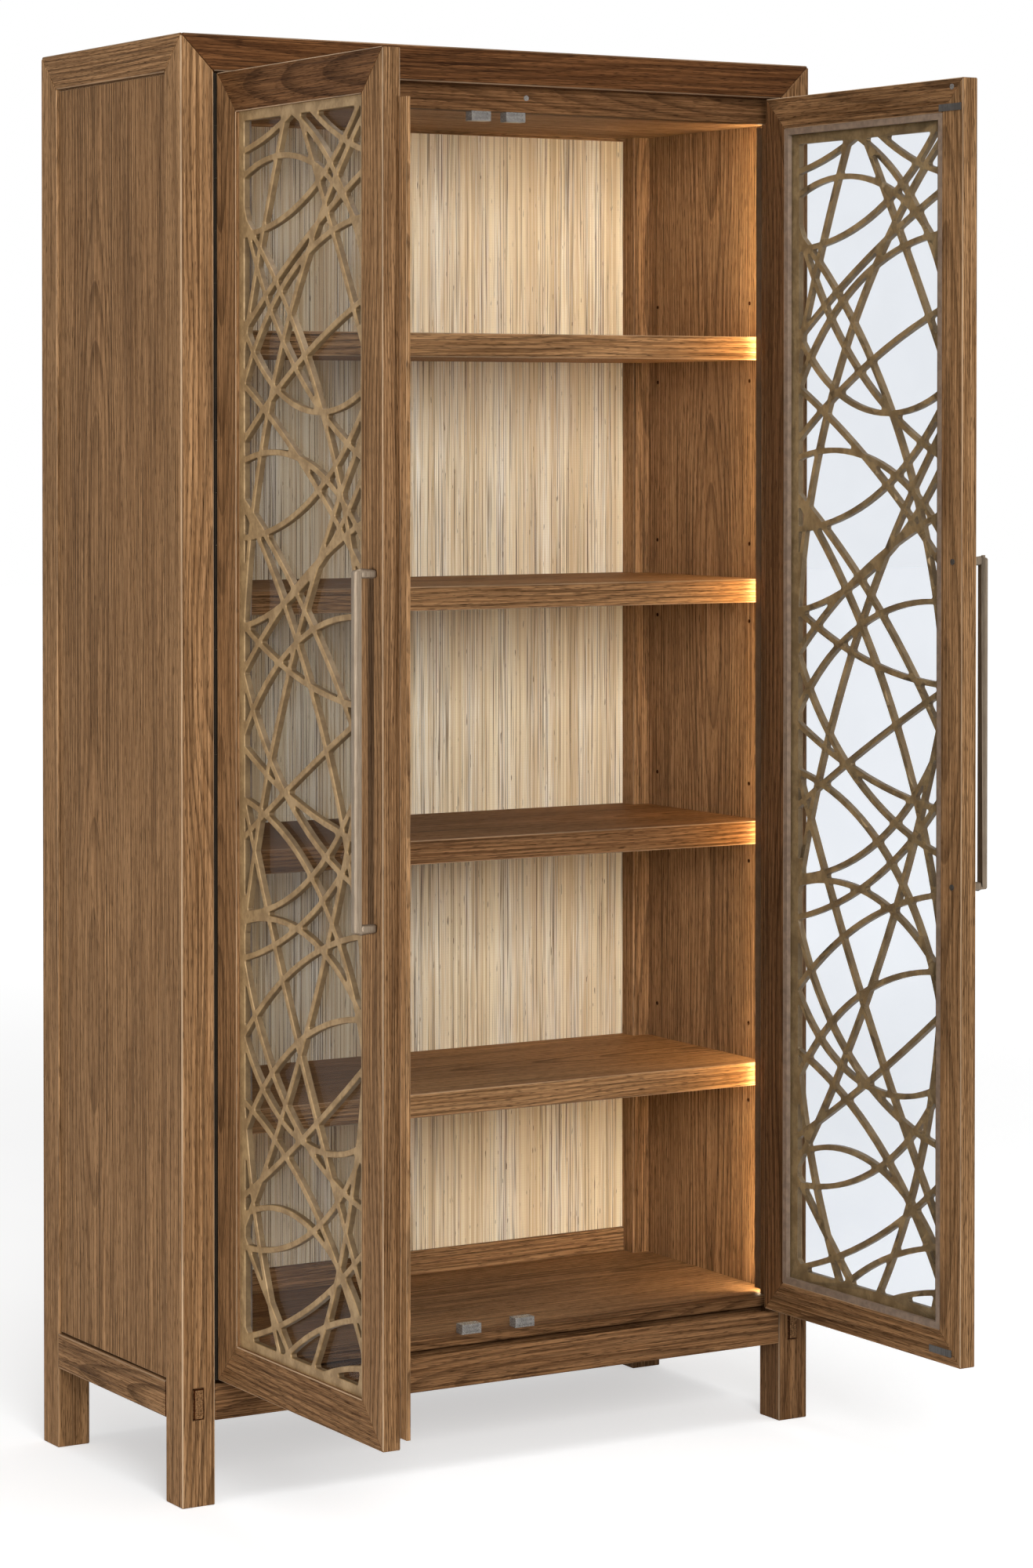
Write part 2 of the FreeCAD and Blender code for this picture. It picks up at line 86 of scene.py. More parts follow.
class Sock:
    """An output socket with operators, so that shader maths reads as an expression."""

    def __init__(self, shop: "Shop", socket: bpy.types.NodeSocket) -> None:
        """Keeps the socket and the node shop that it came from."""
        self.shop = shop
        self.socket = socket

    def _math(self, operation: str, *values: "Sock | float") -> "Sock":
        """One Math node on these values."""
        return self.shop.make("ShaderNodeMath", {"operation": operation}, dict(enumerate(values)))

    def __add__(self, other: "Sock | float") -> "Sock":
        """Sum."""
        return self._math("ADD", self, other)

    def __sub__(self, other: "Sock | float") -> "Sock":
        """Difference."""
        return self._math("SUBTRACT", self, other)

    def __rsub__(self, other: float) -> "Sock":
        """Difference from a number."""
        return self._math("SUBTRACT", other, self)

    def __mul__(self, other: "Sock | float") -> "Sock":
        """Product."""
        return self._math("MULTIPLY", self, other)

    def __truediv__(self, other: "Sock | float") -> "Sock":
        """Quotient."""
        return self._math("DIVIDE", self, other)

    __radd__ = __add__
    __rmul__ = __mul__

    def floor(self) -> "Sock":
        """Whole part."""
        return self._math("FLOOR", self)

    def fract(self) -> "Sock":
        """Part after the point."""
        return self._math("FRACT", self)

    def root(self) -> "Sock":
        """Square root."""
        return self._math("SQRT", self)

    def step(self, low: float, high: float) -> "Sock":
        """Smooth step; low may be the greater one.

        Args:
            low: Value that gives 0.
            high: Value that gives 1.

        Returns:
            The step.
        """
        settings = {"interpolation_type": "SMOOTHSTEP"}
        if low < high:
            return self.shop.make("ShaderNodeMapRange", settings, {0: self, 1: low, 2: high, 3: 0.0, 4: 1.0})
        return self.shop.make("ShaderNodeMapRange", settings, {0: self, 1: high, 2: low, 3: 1.0, 4: 0.0})


class Shop:
    """Node tree of one material or of the world, with one method that makes any node."""

    def __init__(self, owner: bpy.types.Material | bpy.types.World) -> None:
        """Starts with an empty tree.

        Args:
            owner: Material or world whose nodes are made.
        """
        self.owner = owner
        owner.use_nodes = True
        self.tree = owner.node_tree
        self.tree.nodes.clear()

    @classmethod
    def material(cls, name: str) -> "Shop":
        """Shop of a new material.

        Args:
            name: Name of the material.

        Returns:
            The shop.
        """
        return cls(bpy.data.materials.new(name))

    def node(self, kind: str, settings: dict | None = None, inputs: dict | None = None) -> bpy.types.Node:
        """Adds a node.

        Args:
            kind: Node type.
            settings: Properties, set first.
            inputs: Values or links by socket name or number.

        Returns:
            The node.
        """
        made = self.tree.nodes.new(kind)
        for key, value in (settings or {}).items():
            setattr(made, key, value)
        for key, value in (inputs or {}).items():
            target = made.inputs[key]
            if isinstance(value, Sock):
                self.tree.links.new(value.socket, target)
            else:
                target.default_value = value
        return made

    def make(self, kind: str, settings: dict | None = None, inputs: dict | None = None,
             output: str | int = 0) -> Sock:
        """Adds a node and gives one of its outputs.

        Args:
            kind: Node type.
            settings: Properties, set first.
            inputs: Values or links by socket name or number.
            output: Name or number of the output.

        Returns:
            The output, wrapped.
        """
        return Sock(self, self.node(kind, settings, inputs).outputs[output])

    def place(self) -> Sock:
        """Object coordinates."""
        return self.make("ShaderNodeTexCoord", output="Object")

    def attribute(self, name: str, output: str = "Fac") -> Sock:
        """One of the piece's own attributes."""
        return self.make("ShaderNodeAttribute", {"attribute_name": name}, output=output)

    def axes(self, vector: Sock) -> tuple[Sock, Sock, Sock]:
        """The three parts of a vector."""
        split = self.node("ShaderNodeSeparateXYZ", inputs={0: vector})
        return tuple(Sock(self, out) for out in split.outputs)

    def vector(self, x: Sock | float, y: Sock | float, z: Sock | float) -> Sock:
        """A vector from its parts."""
        return self.make("ShaderNodeCombineXYZ", inputs={0: x, 1: y, 2: z})

    def scaled(self, vector: Sock, scale: tuple[float, float, float]) -> Sock:
        """A vector stretched on each axis."""
        return self.make("ShaderNodeVectorMath", {"operation": "MULTIPLY"}, {0: vector, 1: scale})

    def noise(self, vector: Sock, detail: float = 2.0, roughness: float = 0.5) -> Sock:
        """Smooth noise of 0 to 1 at one cell per unit."""
        inputs = {"Vector": vector, "Scale": 1.0, "Detail": detail, "Roughness": roughness}
        return self.make("ShaderNodeTexNoise", inputs=inputs)

    def blend(self, factor: Sock | float, first: "Sock | Colour", second: "Sock | Colour",
              mode: str = "MIX") -> Sock:
        """Mix of two colours.

        Args:
            factor: Share of the second colour.
            first: Colour at 0.
            second: Colour at 1.
            mode: Blend mode.

        Returns:
            The mixed colour.
        """
        settings = {"data_type": "RGBA", "blend_type": mode}
        return self.make("ShaderNodeMix", settings, {0: factor, 6: first, 7: second}, output=2)

    def bump(self, height: Sock, strength: float, distance: float) -> Sock:
        """Normal roughened by a height of 0 to 1."""
        inputs = {"Strength": strength, "Distance": distance, "Height": height}
        return self.make("ShaderNodeBump", inputs=inputs)

    def finish(self, shader: Sock) -> bpy.types.Material | bpy.types.World:
        """Links the shader to the output.

        Args:
            shader: The finished shader.

        Returns:
            The material or world.
        """
        whole = isinstance(self.owner, bpy.types.World)
        self.node("ShaderNodeOutputWorld" if whole else "ShaderNodeOutputMaterial", inputs={"Surface": shader})
        return self.owner

    def principled(self, **inputs: "Sock | float | Colour") -> Sock:
        """Principled shader; underscores in a name stand for spaces."""
        named = {key.replace("_", " "): value for key, value in inputs.items()}
        return self.make("ShaderNodeBsdfPrincipled", inputs=named)


@dataclass(frozen=True)
class OakFinish:
    """Stained oak that reads each board's own grain attribute, in metres along, across and through it."""

    name: str = "stained_oak"
    pale: Colour = (0.585, 0.338, 0.160, 1)
    mid: Colour = (0.270, 0.138, 0.056, 1)
    dark: Colour = (0.040, 0.018, 0.007, 1)
    # Dark colour that boards are multiplied toward, for their tone, painted shade and end grain.
    deep: Colour = (0.16, 0.075, 0.02, 1)
    # Pale edge colour: partly rubbed edges, partly a painted highlight where the arrises catch the light.
    worn: Colour = (0.64, 0.47, 0.31, 1)
    knot_colour: Colour = (0.022, 0.012, 0.007, 1)
    ring_width: float = 0.0038
    log_depth: float = 0.115
    end_share: float = 0.5
    roughness: float = 0.54
    specular: float = 0.05
    relief: float = 0.0006

    def build(self) -> bpy.types.Material:
        """Makes the material.

        Returns:
            Oak with rings, pores, streaks, small knots, rubbed edges with a painted highlight, and painted
            shade.
        """
        shop = Shop.material(self.name)
        grain = shop.attribute("grain", "Vector")
        along, across, through = shop.axes(grain)
        knot = self.knots(shop, grain)
        drift = shop.noise(shop.scaled(grain, (1.1, 5.0, 5.0)), 2.0)
        wobble = shop.noise(shop.scaled(grain, (5.0, 28.0, 28.0)), 2.0)
        lean = shop.noise(shop.vector(along * 0.9, 0.0, 0.0), 1.0)
        side = across + (drift - 0.5) * 0.045 + (wobble - 0.5) * 0.005 + knot * 0.006
        depth = through + (lean - 0.5) * 0.08 + self.log_depth
        ring = (side * side + depth * depth).root() / self.ring_width
        phase = ring.fract()
        tone = shop.noise(shop.vector(ring.floor() * 0.37, 0.5, 0.0), 0.0)
        late = phase.step(0.40, 0.94) * phase.step(1.0, 0.94) * (0.35 + tone * 0.9)
        early = phase.step(0.32, 0.04)
        streak = shop.noise(shop.scaled(grain, (4.0, 420.0, 420.0)), 3.0, 0.65)
        fibre = shop.noise(shop.scaled(grain, (14.0, 1300.0, 1300.0)), 2.0, 0.6)
        line = shop.noise(shop.scaled(grain, (2.2, 330.0, 330.0)), 1.0).step(0.57, 0.67)
        pore = (shop.noise(shop.scaled(grain, (52.0, 1000.0, 1000.0)), 1.0) + early * 0.06).step(0.56, 0.68)
        cloud = shop.noise(shop.scaled(grain, (2.2, 11.0, 11.0)), 2.0)
        band = shop.noise(shop.scaled(grain, (2.0, 150.0, 150.0)), 2.0, 0.6)
        colour = shop.blend((streak * 0.65 + fibre * 0.35).step(0.39, 0.61), self.mid, self.pale)
        colour = shop.blend(late * 0.58, colour, self.dark)
        colour = shop.blend(line * 0.48, colour, self.dark)
        colour = shop.blend(pore * (0.58 + late * 0.3), colour, self.dark)
        colour = shop.blend(cloud.step(0.62, 0.36) * 0.18, colour, self.dark)
        colour = shop.blend(band.step(0.52, 0.70) * 0.30, colour, self.dark)
        colour = shop.blend(knot * 0.85, colour, self.knot_colour)
        # Per-board darkening: partly each board's own tone, partly painted shade, with painted shade toward
        # the foot.
        colour = shop.blend(shop.attribute("shade"), colour, self.deep, "MULTIPLY")
        # End grain is darker, the oak's own trait; the same attribute also carries painted shade on small
        # faces, such as pin-hole walls and a tenon's rim.
        colour = shop.blend(shop.attribute("end") * self.end_share, colour, self.deep, "MULTIPLY")
        # Painted highlight, partly real rubbing: long eased edges are paled toward the edge colour, as lit
        # arrises.
        arris_rub_and_highlight = shop.attribute("arris_rub_and_highlight") * (0.40 + streak.step(0.30, 0.62) * 0.55)
        colour = shop.blend(arris_rub_and_highlight, colour, self.worn)
        height = streak * 0.5 + fibre * 0.2 - pore * 0.6 - late * 0.35
        shader = shop.principled(
            Base_Color=colour,
            Roughness=self.roughness + pore * 0.22 + late * 0.10,
            Normal=shop.bump(height, 0.32, self.relief),
            Specular_IOR_Level=self.specular,
        )
        return shop.finish(shader)

    @staticmethod
    def knots(shop: Shop, grain: Sock) -> Sock:
        """Sparse small dark knots, drawn out along the grain.

        Args:
            shop: Node tree to add to.
            grain: Board coordinates.

        Returns:
            Knot strength, 0 to 1.
        """
        stretched = shop.scaled(grain, (2.6, 7.5, 7.5))
        cells = shop.node("ShaderNodeTexVoronoi", {"feature": "F1"}, {"Vector": stretched, "Scale": 1.0})
        near = Sock(shop, cells.outputs["Distance"])
        chance = shop.axes(Sock(shop, cells.outputs["Color"]))[0]
        ragged = shop.noise(shop.scaled(grain, (60.0, 500.0, 500.0)), 2.0)
        core = (near + (ragged - 0.5) * 0.05).step(0.075, 0.012)
        return core * chance.step(0.60, 0.66)


@dataclass(frozen=True)
class GrassclothFinish:
    """Upright reeds and threads on a paper backing."""

    name: str = "grasscloth"
    cream: Colour = (0.90, 0.79, 0.57, 1)
    straw: Colour = (0.66, 0.50, 0.30, 1)
    bleached: Colour = (0.96, 0.92, 0.81, 1)
    thread: Colour = (0.10, 0.052, 0.022, 1)
    reed_width: float = 0.0031
    weft_per_metre: float = 260.0
    relief: float = 0.0008

    def build(self) -> bpy.types.Material:
        """Makes the material.

        Returns:
            Reeds of uneven colour with broken dark threads.
        """
        shop = Shop.material(self.name)
        place = shop.place()
        x, _, z = shop.axes(place)
        sway = shop.noise(shop.scaled(place, (60.0, 1.0, 2.5)), 1.0)
        column = x / self.reed_width + (sway - 0.5) * 0.9
        reed = shop.make("ShaderNodeTexWhiteNoise", {"noise_dimensions": "1D"}, {"W": column.floor()})
        patch = shop.noise(shop.scaled(place, (330.0, 1.0, 1.3)), 2.0)
        fibre = shop.noise(shop.scaled(place, (1100.0, 1.0, 11.0)), 2.0, 0.6)
        broad = shop.noise(shop.scaled(place, (34.0, 1.0, 1.2)), 2.0)
        dash = shop.noise(shop.scaled(place, (680.0, 1.0, 3.4)), 2.0, 0.6)
        speck = shop.noise(shop.scaled(place, (420.0, 1.0, 46.0)), 1.0)
        phase = (z * self.weft_per_metre).fract()
        weft = phase.step(0.0, 0.5) * phase.step(1.0, 0.5)
        colour = shop.blend((reed * 0.5 + patch * 0.6).step(0.28, 0.82), self.straw, self.cream)
        colour = shop.blend((fibre * 0.6 + broad * 0.5).step(0.50, 0.74), colour, self.bleached)
        dark = (dash + (broad - 0.5) * 0.25).step(0.555, 0.64)
        colour = shop.blend(dark * 0.86, colour, self.thread)
        colour = shop.blend(speck.step(0.70, 0.78) * 0.75, colour, self.thread)
        colour = shop.blend((1.0 - weft) * 0.10, colour, self.straw)
        height = fibre * 0.5 + reed * 0.35 - dark * 0.4 + weft * 0.1
        shader = shop.principled(
            Base_Color=colour,
            Roughness=0.66 + fibre * 0.2,
            Normal=shop.bump(height, 0.5, self.relief),
        )
        return shop.finish(shader)


@dataclass(frozen=True)
class MetalFinish:
    """Brushed, plated or painted metal with a fine drawn texture and soft mottling."""

    name: str
    light: Colour
    dull: Colour
    metallic: float
    roughness: float
    drawn: tuple[float, float, float] = (900.0, 900.0, 30.0)
    mottle: float = 0.6
    # Colour that painted shade darkens toward.
    deep: Colour = (0.045, 0.025, 0.010, 1)
    specular: float = 0.5

    def build(self) -> bpy.types.Material:
        """Makes the material.

        Returns:
            Metal with drawn lines, rubbed patches and, where a piece carries it, painted shade.
        """
        shop = Shop.material(self.name)
        place = shop.place()
        lines = shop.noise(shop.scaled(place, self.drawn), 2.0, 0.6)
        patch = shop.noise(shop.scaled(place, (38.0, 38.0, 38.0)), 3.0, 0.6)
        grit = shop.noise(shop.scaled(place, (520.0, 520.0, 520.0)), 2.0)
        worn = (patch * self.mottle + lines * (1.0 - self.mottle)).step(0.36, 0.66)
        colour = shop.blend(worn, self.dull, self.light)
        # Painted shade from the piece's shade attribute, used on the lattice bars' side walls; pieces without
        # it are unchanged.
        colour = shop.blend(shop.attribute("shade"), colour, self.deep)
        shader = shop.principled(
            Base_Color=colour,
            Metallic=self.metallic,
            Roughness=self.roughness + (grit - 0.5) * 0.12 + (1.0 - worn) * 0.10,
            Normal=shop.bump(lines * 0.6 + grit * 0.4, 0.18, 0.0003),
            Specular_IOR_Level=self.specular,
        )
        return shop.finish(shader)


@dataclass(frozen=True)
class PlasticFinish:
    """Moulded plastic, clear or solid."""

    name: str
    tint: Colour
    deep: Colour
    clear: float
    roughness: float
    refraction: float = 1.46

    def build(self) -> bpy.types.Material:
        """Makes the material.

        Returns:
            Plastic with a fine moulded skin.
        """
        shop = Shop.material(self.name)
        place = shop.place()
        skin = shop.noise(shop.scaled(place, (700.0, 700.0, 700.0)), 2.0)
        flow = shop.noise(shop.scaled(place, (90.0, 90.0, 90.0)), 2.0)
        shader = shop.principled(
            Base_Color=shop.blend(flow.step(0.3, 0.7), self.deep, self.tint),
            Roughness=self.roughness + skin * 0.14,
            Normal=shop.bump(skin, 0.08, 0.0002),
            Transmission_Weight=self.clear,
            IOR=self.refraction,
        )
        return shop.finish(shader)


@dataclass(frozen=True)
class GlassFinish:
    """Clear float glass that lets the lamps through."""

    name: str = "clear_glass"
    clean: Colour = (0.81, 0.84, 0.885, 1)
    dusty: Colour = (0.79, 0.82, 0.865, 1)
    film: Colour = (0.90, 0.92, 0.94, 1)
    smear: float = 0.003
    refraction: float = 1.1

    def build(self) -> bpy.types.Material:
        """Makes the material.

        Returns:
            Glass that is see-through to shadow rays.
        """
        shop = Shop.material(self.name)
        wipe = shop.noise(shop.scaled(shop.place(), (6.0, 9.0, 14.0)), 3.0)
        pane = shop.principled(
            Base_Color=shop.blend(wipe.step(0.35, 0.7), self.clean, self.dusty),
            Roughness=wipe * self.smear,
            Transmission_Weight=1.0,
            IOR=self.refraction,
        )
        through = shop.make("ShaderNodeBsdfTransparent", inputs={"Color": self.film})
        path = shop.make("ShaderNodeLightPath", output="Is Shadow Ray")
        return shop.finish(shop.make("ShaderNodeMixShader", inputs={0: path, 1: pane, 2: through}))


@dataclass(frozen=True)
class GlowFinish:
    """Milky light cover that glows warm, a little brighter over each diode."""

    name: str = "lamp_glow"
    warm: Colour = (1.0, 0.735, 0.42, 1)
    hot: Colour = (1.0, 0.81, 0.53, 1)
    milky: Colour = (0.9, 0.88, 0.84, 1)
    strength: float = 31.0
    end_gain: float = 1.5
    middle: float = 1.05
    diode_step: float = 0.0167

    def build(self) -> bpy.types.Material:
        """Makes the material.

        Returns:
            Glowing cover.
        """
        shop = Shop.material(self.name)
        z = shop.axes(shop.place())[2]
        cell = (z / self.diode_step).fract() - 0.5
        spot = (cell * cell).step(0.16, 0.0)
        off = z - self.middle
        gain = 1.0 + (off * off).step(0.20, 0.55) * self.end_gain
        shine = shop.make("ShaderNodeVectorMath", {"operation": "SCALE"},
                          {0: shop.blend(spot, self.warm, self.hot), "Scale": gain})
        shader = shop.principled(
            Base_Color=self.milky,
            Roughness=0.5,
            Emission_Color=shine,
            Emission_Strength=self.strength,
        )
        return shop.finish(shader)


@dataclass(frozen=True)
class PlyFinish:
    """Plain pale plywood of the hidden back board."""

    name: str = "back_ply"
    pale: Colour = (0.30, 0.185, 0.105, 1)
    dark: Colour = (0.17, 0.095, 0.05, 1)

    def build(self) -> bpy.types.Material:
        """Makes the material.

        Returns:
            Rotary-cut veneer with broad upright figure.
        """
        shop = Shop.material(self.name)
        place = shop.place()
        swirl = shop.noise(shop.scaled(place, (9.0, 9.0, 0.8)), 3.0, 0.6)
        bands = (swirl * 9.0).fract()
        fibre = shop.noise(shop.scaled(place, (520.0, 520.0, 9.0)), 2.0, 0.6)
        mask = (bands * 0.45 + fibre * 0.7).step(0.30, 0.85)
        shader = shop.principled(
            Base_Color=shop.blend(mask, self.dark, self.pale),
            Roughness=0.58 + fibre * 0.14,
            Normal=shop.bump(fibre, 0.2, 0.0004),
        )
        return shop.finish(shader)


class Finishes:
    """Every finish of the cabinet, made once."""

    def __init__(self) -> None:
        """Builds the materials."""
        self.oak = OakFinish().build()
        self.cloth = GrassclothFinish().build()
        self.ply = PlyFinish().build()
        self.glass = GlassFinish().build()
        # Painted shade: the left pane is the same clear glass, greyed so that what shows through it reads
        # darker.
        self.grey_glass = GlassFinish("grey_glass", (0.57, 0.57, 0.57, 1), (0.55, 0.55, 0.55, 1)).build()
        self.glow = GlowFinish().build()
        self.gold = MetalFinish("antique_gold", (0.35, 0.225, 0.100, 1), (0.21, 0.126, 0.050, 1),
                                0.25, 0.46, (160.0, 160.0, 120.0), 0.75).build()
        self.bronze = MetalFinish("champagne_bronze", (0.27, 0.21, 0.15, 1), (0.19, 0.142, 0.098, 1),
                                  0.80, 0.40, mottle=0.25).build()
        # Partly painted shade: a dark bronze made near black so that the line at the hinge reads as a shaded
        # crevice.
        self.hinge = MetalFinish("dark_bronze_crevice_shade", (0.016, 0.012, 0.008, 1), (0.009, 0.007, 0.005, 1),
                                 0.0, 0.6, specular=0.06).build()
        self.steel = MetalFinish("dark_steel", (0.16, 0.155, 0.15, 1), (0.09, 0.085, 0.08, 1),
                                 0.85, 0.42).build()
        self.channel = MetalFinish("lamp_channel", (0.10, 0.055, 0.026, 1), (0.07, 0.038, 0.018, 1),
                                   0.1, 0.5).build()
        self.clear = PlasticFinish("clear_plastic", (0.25, 0.23, 0.205, 1), (0.18, 0.165, 0.15, 1),
                                   0.15, 0.2).build()
        self.bead = PlasticFinish("glass_bead", (0.26, 0.185, 0.13, 1), (0.18, 0.125, 0.09, 1),
                                  0.0, 0.40).build()
        self.black = PlasticFinish("black_plastic", (0.03, 0.03, 0.03, 1), (0.02, 0.02, 0.02, 1),
                                   0.0, 0.42).build()


class Workshop:
    """Turns plain solids of the frame into finished pieces."""

    seed: int = 41
    weld: float = 1e-6
    flat_angle: float = 0.002
    sharp_angle: float = 0.5
    # Eased edges longer than this get the pale edge mark, a painted highlight that partly stands for rubbing.
    worn_length: float = 0.09
    end_dark: float = 0.35
    # Painted shade on small faces, such as pin-hole walls and a tenon's eased rim.
    hole_dark: float = 2.0
    log_spans: tuple[tuple[float, float], ...] = ((0, 40), (-0.05, 0.05), (-0.02, 0.03))
    uneven_shade: float = 0.08

    def __init__(self, finishes: Finishes) -> None:
        """Keeps the finishes and a steady source of chance.

        Args:
            finishes: Materials to dress pieces with.
        """
        self.finishes = finishes
        self.chance = random.Random(self.seed)
        self.shown: dict[str, bpy.types.Object] = {}
        bodies = frame["record"]["behaviour"]["bodies"]
        self.body_of = {node: body for body, nodes in bodies.items() for node in nodes}

    def merged(self, node: str) -> bmesh.types.BMesh:
        """Copy of a solid's mesh with its loose triangles joined.

        Args:
            node: Name of the solid.

        Returns:
            The joined mesh.
        """
        shape = bmesh.new()
        shape.from_mesh(frame["nodes"][node].data)
        bmesh.ops.remove_doubles(shape, verts=shape.verts, dist=self.weld)
        return shape

    def plain(self, node: str) -> bmesh.types.BMesh:
        """Copy of a solid's mesh with its flat sides as single faces.

        Args:
            node: Name of the solid.

        Returns:
            The plain mesh.
        """
        shape = self.merged(node)
        bmesh.ops.dissolve_limit(shape, angle_limit=self.flat_angle, verts=shape.verts, edges=shape.edges)
        return shape

    def sharp_edges(self, shape: bmesh.types.BMesh, least: float) -> list[bmesh.types.BMEdge]:
        """Outer corners of a mesh that are to be eased.

        Args:
            shape: Mesh of the piece.
            least: Length that an edge has to pass.

        Returns:
            The edges.
        """
        return [edge for edge in shape.edges
                if edge.is_manifold and edge.is_convex and edge.calc_face_angle() > self.sharp_angle
                and edge.calc_length() > least]

    def settle(self, shape: bmesh.types.BMesh, name: str, node: str, slot: str,
               material: bpy.types.Material) -> bpy.types.Object:
        """Makes a mesh into a piece that stands for a solid.

        Args:
            shape: Finished mesh, in its place.
            name: Name of the piece.
            node: Solid that it stands for.
            slot: Material slot of the record; not used.
            material: Its finish.

        Returns:
            The piece.
        """
        mesh = bpy.data.meshes.new(name)
        shape.to_mesh(mesh)
        shape.free()
        mesh.materials.append(material)
        piece = bpy.data.objects.new(name, mesh)
        bpy.context.scene.collection.objects.link(piece)
        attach(piece, self.body_of[node])
        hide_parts(node)
        self.shown[node] = piece
        log.info("%s: %d faces", name, len(mesh.polygons))
        return piece

    def dress(self, node: str, material: bpy.types.Material) -> None:
        """Gives a solid that is shown as it is a new finish.

        Args:
            node: Name of the solid.
            material: Its finish.
        """
        for slot in frame["nodes"][node].material_slots:
            slot.material = material
        self.shown[node] = frame["nodes"][node]
        log.info("%s: dressed in %s", node, material.name)

    def board(self, node: str, slot: str, grain: Grain, ease: float = 0.0011, shade: float = 0.0,
              least: float = 0.0, foot: float = 0.0, wear: float = 0.3,
              painted_shade_area: float = 0.0) -> bpy.types.Object:
        """Makes an oak board with eased edges and its own stretch of grain.

        Args:
            node: Solid of the board.
            slot: Material slot of the record.
            grain: Way of the fibres.
            ease: Size of the eased edges.
            shade: How much darker the board is than the rest, partly its own tone and partly painted shade.
            least: Shortest edge that is eased.
            foot: Painted shade: how much darker its foot is than its head; a negative value makes the foot
                lighter.
            wear: How pale its long edges are, partly rubbed and partly a painted highlight.
            painted_shade_area: Area in m2 below which its faces get painted shade, such as the walls of pin
                holes and the eased rim round a tenon end.

        Returns:
            The piece.
        """
        shape = self.plain(node)
        arris_rub_and_highlight = shape.faces.layers.float.new("arris_rub_and_highlight")
        eased = bmesh.ops.bevel(shape, geom=self.sharp_edges(shape, least), offset=ease, offset_type="OFFSET",
                                segments=2, profile=0.5, affect="EDGES", material=-1, clamp_overlap=True)
        # Long eased edges get the pale edge mark, a painted highlight that partly stands for rubbing; short
        # ones get none.
        for face in eased["faces"]:
            longest = max(edge.calc_length() for edge in face.edges)
            face[arris_rub_and_highlight] = wear if longest > self.worn_length else 0.0
        self.mark_grain(shape, grain, shade, foot)
        # Painted shade in recesses: small faces, such as pin-hole walls and the rim round a tenon end, are
        # darkened fully.
        if painted_shade_area:
            end = shape.faces.layers.float["end"]
            for face in shape.faces:
                if face.calc_area() < painted_shade_area:
                    face[end] = self.hole_dark
        return self.settle(shape, f"{node}_board", node, slot, self.finishes.oak)

    def mark_grain(self, shape: bmesh.types.BMesh, grain: Grain, shade: float, foot: float) -> None:
        """Writes a board's grain coordinates and darkness to its points.

        Args:
            shape: Mesh of the board.
            grain: Way of the fibres.
            shade: How much darker the board is than the rest, partly its own tone and partly painted shade.
            foot: Painted shade: how much darker its foot is than its head; a negative value makes the foot
                lighter.
        """
        coordinates = shape.verts.layers.float_vector.new("grain")
        darkness = shape.verts.layers.float.new("shade")
        end = shape.faces.layers.float.new("end")
        start = Vector(self.chance.uniform(*ends) for ends in self.log_spans)
        axes = [Vector(axis) for axis in grain.value]
        middle = sum((v.co for v in shape.verts), Vector()) / len(shape.verts)
        depth = shade + self.chance.uniform(0.0, self.uneven_shade)
        tallest = max(vert.co.z for vert in shape.verts)
        for vert in shape.verts:
            offset = vert.co - middle
            vert[coordinates] = start + Vector(offset.dot(axis) for axis in axes)
            # Painted shade: points grow darker toward the bottom of the board; a negative foot value makes
            # them lighter there.
            vert[darkness] = depth + foot * (1.0 - vert.co.z / tallest)
        for face in shape.faces:
            face[end] = self.end_dark if abs(face.normal.dot(axes[0])) > 0.9 else 0.0


